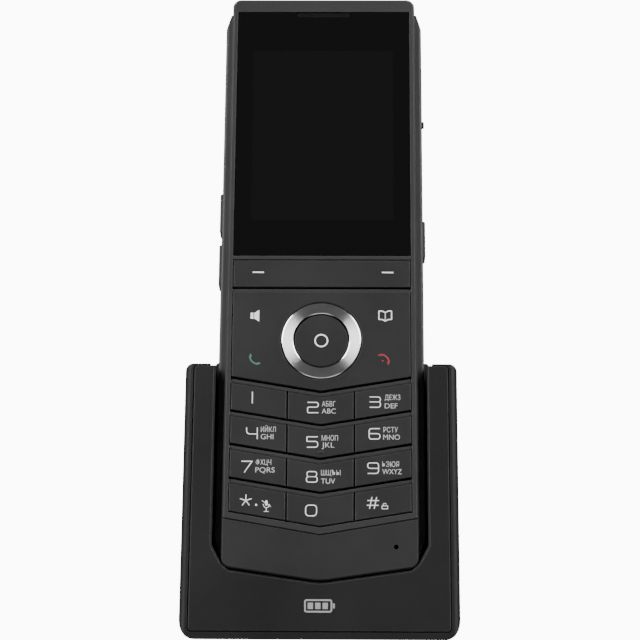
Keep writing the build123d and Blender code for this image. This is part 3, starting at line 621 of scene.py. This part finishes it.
w = 1.335           # half width and half height of a digit's centre line
tip = 1.49          # how far up or down a plain upright goes
digitStrokes = {    # open or closed paths of (x, y, corner radius)
    "1": [(False, [(0, -tip, 0), (0, tip, 0)])],
    "2": [(False, [(-w, w, 0), (w, w, 0.6), (w, 0.1, 0.6), (-w, 0.1, 0.3), (-w, -w, 0.3), (w, -w, 0)])],
    "3": [
        (False, [(-w, w, 0), (w, w, 0.6), (w, 0.05, 0.6), (-w, 0.05, 0)]),
        (False, [(w - 0.8, 0.05, 0), (w, 0.05, 0.6), (w, -w, 0.6), (-w, -w, 0)]),
    ],
    "4": [
        (False, [(-w, tip, 0), (-w, -0.2, 0.8), (w, -0.2, 0)]),
        (False, [(w, tip, 0), (w, -tip, 0)]),
    ],
    "5": [(False, [(w, w, 0), (-w, w, 0.1), (-w, 0.15, 0.1), (w, 0.15, 0.6), (w, -w, 0.6), (-w, -w, 0)])],
    "6": [(False, [(w, w, 0), (-w, w, 0.65), (-w, -w, 0.6), (w, -w, 0.6), (w, 0.05, 0.6), (-w, 0.05, 0)])],
    "7": [(False, [(-w, w, 0), (w, w, 0), (-0.6, -tip, 0)])],
    "8": [
        (True, [(-1.17, 0.05, 0.5), (-1.17, w, 0.5), (1.17, w, 0.5), (1.17, 0.05, 0.5)]),
        (True, [(-w, -w, 0.6), (-w, 0.05, 0.6), (w, 0.05, 0.6), (w, -w, 0.6)]),
    ],
    "9": [
        (False, [(-w, -w, 0), (w, -w, 0.65), (w, w, 0.6), (-w, w, 0.6), (-w, -0.05, 0.6), (w, -0.05, 0)]),
    ],
    "0": [(True, [(-w, -w, 0.8), (w, -w, 0.8), (w, w, 0.8), (-w, w, 0.8)])],
    "star": [
        (False, [(0, 0, 0), (1.5 * math.cos(math.radians(a)), 1.5 * math.sin(math.radians(a)), 0)])
        for a in (90, 162, 234, 306, 18)
    ],
    "hash": [
        (False, [(-0.85, -1.46, 0), (-0.25, 1.46, 0)]), (False, [(0.3, -1.46, 0), (0.9, 1.46, 0)]),
        (False, [(-1.35, 0.6, 0), (1.5, 0.6, 0)]), (False, [(-1.5, -0.6, 0), (1.35, -0.6, 0)]),
    ],
}

# digit centres and letter groups (text, left end, right end, base line),
# in mm from the middle and from the chin's point
keyLegends = {
    "1": dict(digit=(-17.1, 45.95)),
    "2": dict(digit=(-1.95, 43.4), letters=[("АБВГ", 0.2, 3.7, 43.68), ("ABC", 0.15, 3.78, 41.86)]),
    "3": dict(digit=(13.5, 44.85), letters=[("ДЕЖЗ", 15.85, 19.85, 45.42), ("DEF", 15.85, 19.15, 43.25)]),
    "4": dict(digit=(-17.05, 36.75), letters=[("ИЙКЛ", -14.9, -11.1, 37.08), ("GHI", -14.9, -11.65, 35.25)]),
    "5": dict(digit=(-2.05, 34.55), letters=[("МНОП", 0.2, 4.35, 34.92), ("JKL", 0.25, 3.45, 33.15)]),
    "6": dict(digit=(13.35, 36.7), letters=[("РСТУ", 15.5, 19.2, 37.08), ("MNO", 15.45, 19.7, 35.2)]),
    "7": dict(digit=(-18.2, 28.25), letters=[("ФХЦЧ", -16.0, -12.1, 28.7), ("PQRS", -16.1, -11.2, 26.78)]),
    "8": dict(digit=(-2.1, 25.7), letters=[("ШЩЪЫ", 0.1, 5.0, 26.1), ("TUV", 0.1, 3.7, 24.0)]),
    "9": dict(digit=(13.0, 27.95), letters=[("ЬЭЮЯ", 15.2, 19.45, 28.3), ("WXYZ", 15.2, 20.1, 26.45)]),
    "star": dict(digit=(-18.25, 19.7)),
    "0": dict(digit=(-2.2, 17.25)),
    "hash": dict(digit=(12.95, 19.2)),
}


starDot = dict(x=-15.72, h=18.6, radius=0.27)
microphoneMark = dict(      # a microphone on a stand, struck through
    x=-13.2, h=18.35, head=(0.36, 0.66), headMiddle=0.75,
    cup=(0.78, 0.95), cupMiddle=0.5, cupSteps=10, cupStroke=0.15,
    bars=[[(0, -0.5), (0, -1.3)], [(-0.6, -1.4), (0.6, -1.4)], [(-1.1, 1.35), (1.1, -0.2)]], barStroke=0.16,
)
padlockMark = dict(         # an open padlock
    x=15.86, h=18.1, half=0.7, rise=0.38, bodyStroke=0.15, shackleStroke=0.14,
    shackle=[(-0.4, 0.4, 0), (-0.4, 0.98, 0.3), (0.3, 0.98, 0.3), (0.3, 0.7, 0)],
)


def addMutedMicrophone(bm, s, place):
    def moved(points):
        return [Vector((s["x"] + x, s["h"] + y)) for x, y in points]

    wide, tall = s["head"]
    patch(bm, moved([(wide * p.x, s["headMiddle"] + tall * p.y) for p in circlePoints(0, 0, 1, 20)]), place)
    wide, tall = s["cup"]
    turns = [math.pi * (1 + k / s["cupSteps"]) for k in range(s["cupSteps"] + 1)]
    cup = [(wide * math.cos(t), s["cupMiddle"] + tall * math.sin(t)) for t in turns]
    ribbon(bm, moved(cup), s["cupStroke"], False, place)
    for bar in s["bars"]:
        ribbon(bm, moved(bar), s["barStroke"], False, place)


def addOpenPadlock(bm, s, place):
    def moved(corners):
        return [(s["x"] + x, s["h"] + y, radius) for x, y, radius in corners]

    half, rise = s["half"], s["rise"]
    body = [(-half, -rise, 0), (half, -rise, 0), (half, rise, 0), (-half, rise, 0)]
    ribbon(bm, arcPoints(moved(body), True), s["bodyStroke"], True, place)
    ribbon(bm, arcPoints(moved(s["shackle"])), s["shackleStroke"], False, place)


for key, plan in keyLegends.items():
    bm = bmesh.new()
    plain = placer("key_4")
    place = placer("key_4", 0.0, *plan["digit"])
    for closed, corners in digitStrokes[key]:
        ribbon(bm, arcPoints(corners, closed), inkLook["stroke"], closed, place)
    for text, low, high, base in plan.get("letters", []):
        addLetters(bm, text, low, high, base, plain)
    if key == "star":
        patch(bm, circlePoints(starDot["x"], starDot["h"], starDot["radius"], 20), plain)
        addMutedMicrophone(bm, microphoneMark, plain)
    if key == "hash":
        addOpenPadlock(bm, padlockMark, plain)
    finishPrint(bm, f"legend_{key}", "whiteInk", f"key_{key}")

softDash = dict(places=(-16.15, 16.75), height=79.05, half=1.42, stroke=0.34)
okCircle = dict(height=60.9, radius=1.56, stroke=0.36)
speakerMark = dict(
    box=[(-17.92, 66.6), (-17.2, 66.6), (-17.2, 68.2), (-17.92, 68.2)],
    horn=[(-17.0, 66.7), (-15.75, 65.85), (-15.75, 68.97), (-17.0, 68.12)],
)
bookMark = dict(        # one page as (from the spine, height, corner radius)
    spine=16.1, stroke=0.28,
    page=[
        (0, 68.35, 0), (0.8, 68.75, 0.4), (1.6, 68.75, 0.15),
        (1.6, 66.5, 0.15), (0.8, 66.5, 0.4), (0, 66.1, 0),
    ],
)


def addSoftDashes(s):
    bm = bmesh.new()
    place = placer("soft_key_bar")
    for x in s["places"]:
        dash = [Vector((x - s["half"], s["height"])), Vector((x + s["half"], s["height"]))]
        ribbon(bm, dash, s["stroke"], False, place)
    finishPrint(bm, "softKeyDashes", "whiteInk", "soft_key_bar")


def addOkCircle(s):
    bm = bmesh.new()
    ribbon(bm, circlePoints(0, s["height"], s["radius"], 48), s["stroke"], True, placer("ok_key"))
    finishPrint(bm, "okKeyCircle", "whiteInk", "ok_key")


def addPlateMarks(speaker, book):
    # loudspeaker and open book on the function plate
    bm = bmesh.new()
    place = placer("function_key_plate")
    patch(bm, speaker["box"], place)
    patch(bm, speaker["horn"], place)
    for side in (-1, 1):
        page = [(book["spine"] + side * reach, height, corner) for reach, height, corner in book["page"]]
        ribbon(bm, arcPoints(page, True), book["stroke"], True, place)
    finishPrint(bm, "plateWhiteMarks", "whiteInk", "function_key_plate")


addSoftDashes(softDash)
addOkCircle(okCircle)
addPlateMarks(speakerMark, bookMark)

receiverMark = dict(        # a telephone receiver from the side: a bent grip with two thick ends
    bend=2.2, middle=1.57, halfAngle=46, steps=14, stroke=0.38, spotRadius=0.2,
    end=[(1.15, -0.25, 0.2), (1.91, 0.31, 0.2), (1.67, 0.66, 0.2), (0.98, 0.14, 0.2)],
)


def addReceiver(name, x, h, turn, material, s, spot=None):
    bm = bmesh.new()
    place = placer("function_key_plate", turn, x, h)
    swing = [math.radians(s["halfAngle"] * (2 * k / s["steps"] - 1)) for k in range(s["steps"] + 1)]
    grip = [Vector((s["bend"] * math.sin(t), s["middle"] - s["bend"] * math.cos(t))) for t in swing]
    ribbon(bm, grip, s["stroke"], False, place)
    for side in (-1, 1):
        end = [(side * reach, height, corner) for reach, height, corner in s["end"]]
        patch(bm, arcPoints(end, True), place)
    if spot:
        patch(bm, circlePoints(*spot, s["spotRadius"], 20), placer("function_key_plate"))
    finishPrint(bm, name, material, "function_key_plate")


addReceiver("answerMark", -16.85, 55.75, -45, "greenInk", receiverMark)
addReceiver("hangUpMark", 15.95, 56.2, 135, "redInk", receiverMark, (15.45, 55.6))

batteryMark = dict(
    x=-0.3, h=-6.2, half=3.2, rise=1.4, corner=0.4, stroke=0.42,        # the case
    capGap=0.35, capLength=0.45, capRise=0.6,
    bars=3, barStart=-2.55, barPitch=1.8, barLength=1.3, barRise=0.78,
)


def addBatteryMark(s):
    # a plain battery sign, low on the cradle's front
    bm = bmesh.new()
    place = placer("base_front_panel", 0.0, s["x"], s["h"])
    half, rise = s["half"], s["rise"]
    case = [(x, y, s["corner"]) for x, y in ((-half, -rise), (half, -rise), (half, rise), (-half, rise))]
    ribbon(bm, arcPoints(case, True), s["stroke"], True, place)
    boxes = [(half + s["capGap"], s["capLength"], s["capRise"])]
    boxes += [(s["barStart"] + s["barPitch"] * k, s["barLength"], s["barRise"]) for k in range(s["bars"])]
    for left, length, reach in boxes:
        patch(bm, [(left, -reach), (left + length, -reach), (left + length, reach), (left, reach)], place)
    finishPrint(bm, "batteryMark", "grayInk", "base")


addBatteryMark(batteryMark)
print("stage: marks printed")

# the camera stands in front, a little above the phone's middle; distance and aim in mm
cameraPlan = dict(lens=113.8, distance=511.0, azimuth=0.85, elevation=10.0, aimX=-0.37, aimH=66.4)


def makeCamera(s):
    data = bpy.data.cameras.new("camera")
    data.lens = s["lens"]
    data.sensor_width = 36
    data.clip_start = 0.01
    data.clip_end = 100
    camera = bpy.data.objects.new("camera", data)
    bpy.context.scene.collection.objects.link(camera)
    azimuth, elevation = math.radians(s["azimuth"]), math.radians(s["elevation"])
    level = math.cos(elevation)
    back = Vector((math.sin(azimuth) * level, -math.cos(azimuth) * level, math.sin(elevation)))
    target = facePoint(s["aimX"], s["aimH"], faceBox("front_housing")[1].z)
    camera.location = target + back * s["distance"] * mm
    camera.rotation_euler = back.to_track_quat("Z", "Y").to_euler()
    bpy.context.scene.camera = camera


makeCamera(cameraPlan)

# soft boxes: two tall ones in front to the sides, a thin low strip in front, and two behind
lightPlan = {
    "leftBox": dict(place=(-0.80, -0.45, 0.63), size=(0.35, 1.08), power=24.5),
    "rightBox": dict(place=(0.80, -0.45, 0.63), size=(0.35, 1.08), power=22.5),
    "lowFrontBox": dict(place=(0.0, -1.1, 0.115), size=(1.4, 0.10), power=0.8),
    "rearLeftBox": dict(place=(-0.7, 0.9, 0.7), size=(0.6, 0.8), power=18.0),
    "rearRightBox": dict(place=(0.7, 0.9, 0.7), size=(0.6, 0.8), power=18.0),
}
middle = (cadLow + cadHigh) / 2
for name, s in lightPlan.items():
    data = bpy.data.lights.new(name, "AREA")
    data.shape = "RECTANGLE"
    data.size, data.size_y = s["size"]
    data.energy = s["power"]
    lamp = bpy.data.objects.new(name, data)
    bpy.context.scene.collection.objects.link(lamp)
    lamp.location = middle + Vector(s["place"])
    lamp.rotation_euler = Vector(s["place"]).to_track_quat("Z", "Y").to_euler()

studioPlan = dict(ambient=0.035, reach=40.0, floorColor=0.04, floorRough=0.9, glow=11.0)


def makeRoom(s):
    # white to the eye, nearly dark for everything else
    world = bpy.data.worlds.new("studio")
    world.use_nodes = True
    bpy.context.scene.world = world
    tree = world.node_tree
    dim = setInputs(tree.nodes["Background"], Color=(1, 1, 1, 1), Strength=s["ambient"])
    bright = setInputs(addNode(tree, "ShaderNodeBackground"), Color=(1, 1, 1, 1), Strength=s["glow"])
    rays = addNode(tree, "ShaderNodeLightPath")
    mixed = addNode(tree, "ShaderNodeMixShader")
    tree.links.new(rays.outputs["Is Camera Ray"], mixed.inputs[0])
    tree.links.new(dim.outputs[0], mixed.inputs[1])
    tree.links.new(bright.outputs[0], mixed.inputs[2])
    tree.links.new(mixed.outputs[0], tree.nodes["World Output"].inputs["Surface"])


makeRoom(studioPlan)


def makeFloor(s):
    reach = s["reach"]
    mesh = bpy.data.meshes.new("floor")
    corners = [(-reach, -reach, 0), (reach, -reach, 0), (reach, reach, 0), (-reach, reach, 0)]
    mesh.from_pydata(corners, [], [(0, 1, 2, 3)])
    floor = bpy.data.objects.new("floor", mesh)
    bpy.context.scene.collection.objects.link(floor)
    floor.location.z = cadLow.z
    material, tree, shader = newMaterial("paleFloor")
    shader.inputs["Base Color"].default_value = gray(s["floorColor"])
    shader.inputs["Roughness"].default_value = s["floorRough"]
    # white to the eye, a calmer tone for the light that it throws back
    rays = addNode(tree, "ShaderNodeLightPath")
    glow = setInputs(addNode(tree, "ShaderNodeEmission"), Strength=s["glow"])
    mixed = addNode(tree, "ShaderNodeMixShader")
    tree.links.new(rays.outputs["Is Camera Ray"], mixed.inputs[0])
    tree.links.new(shader.outputs[0], mixed.inputs[1])
    tree.links.new(glow.outputs[0], mixed.inputs[2])
    tree.links.new(mixed.outputs[0], tree.nodes["Material Output"].inputs["Surface"])
    mesh.materials.append(material)


makeFloor(studioPlan)
print("stage: studio set")
